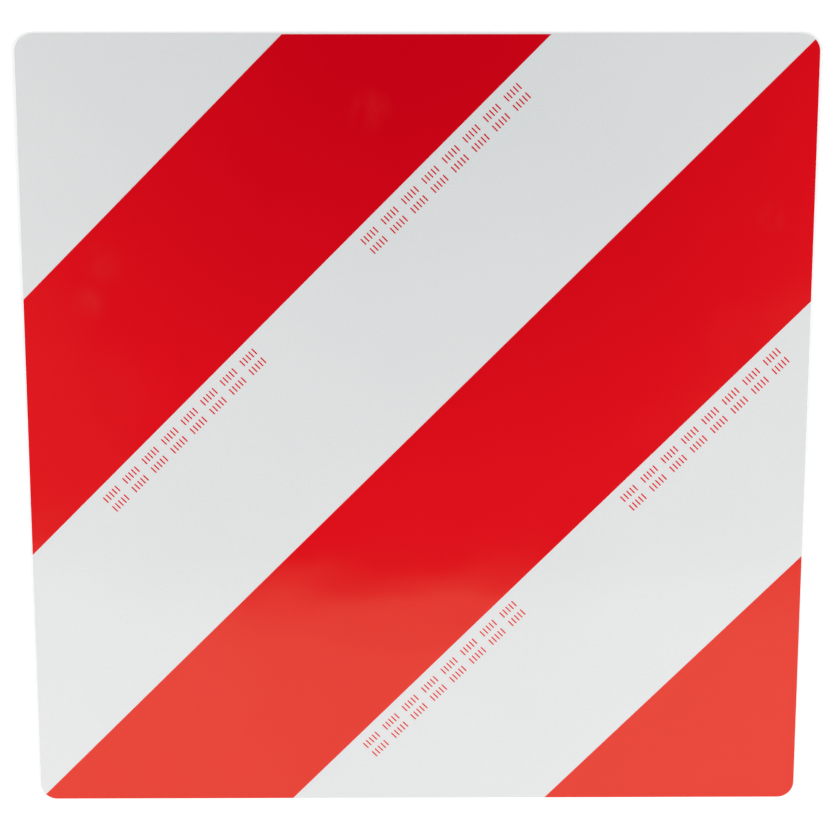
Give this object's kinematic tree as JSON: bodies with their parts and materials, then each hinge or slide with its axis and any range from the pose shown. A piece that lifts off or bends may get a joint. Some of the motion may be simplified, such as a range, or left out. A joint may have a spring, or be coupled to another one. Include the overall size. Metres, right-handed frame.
{
  "type": "hazard marker board",
  "caption": "Square warning board: flat aluminium sheet faced with white retroreflective film and printed with red diagonal stripes, to fix to a vehicle, container or stand.",
  "frame": {"origin": "centre of the bare back face, on which the board lies", "axes": "+Z out of the printed face, +Y towards the board's top edge and +X to its right as the picture shows it"},
  "size_m": [0.423, 0.423, 0.0018],
  "materials": {
    "aluminium": "bare mill finish, faintly grained along the rolling direction",
    "white_film": "glossy enclosed-bead retroreflective film",
    "red_ink": "transparent red screen ink on the film, glossy"
  },
  "bodies": {
    "root": {"aluminium_sheet": "aluminium", "reflective_film": "white_film", "red_stripe_1": "red_ink", "red_stripe_2": "red_ink", "red_stripe_3": "red_ink"}
  },
  "joints": []
}
